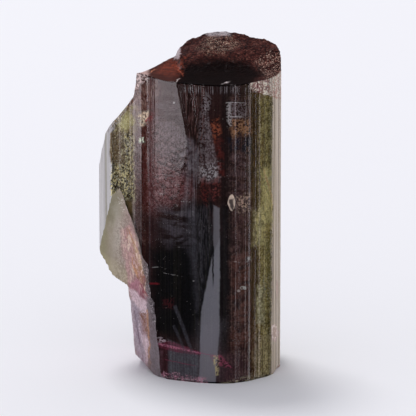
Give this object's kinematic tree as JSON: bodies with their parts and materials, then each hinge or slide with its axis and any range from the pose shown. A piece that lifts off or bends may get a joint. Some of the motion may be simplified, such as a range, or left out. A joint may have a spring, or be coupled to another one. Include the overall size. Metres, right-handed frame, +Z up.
{
  "type": "elbaite tourmaline crystal",
  "caption": "Free-standing elbaite tourmaline prism with a ribbed rounded outline, a rough sloping broken top, a broken shoulder and a scar down the left edge.",
  "frame": {"origin": "centre of the bounding box at the flat broken base", "axes": "+Z up along the prism, -Y towards the front of the picture, +X to its right"},
  "size_m": [0.0221, 0.0178, 0.0392],
  "materials": {
    "tourmaline": "glassy ribbed prism faces, dark red-brown and black inside with an olive-gold rim; granular broken top; waxy pink and tan scar"
  },
  "bodies": {
    "root": {"elbaite_crystal": "tourmaline"}
  },
  "joints": []
}
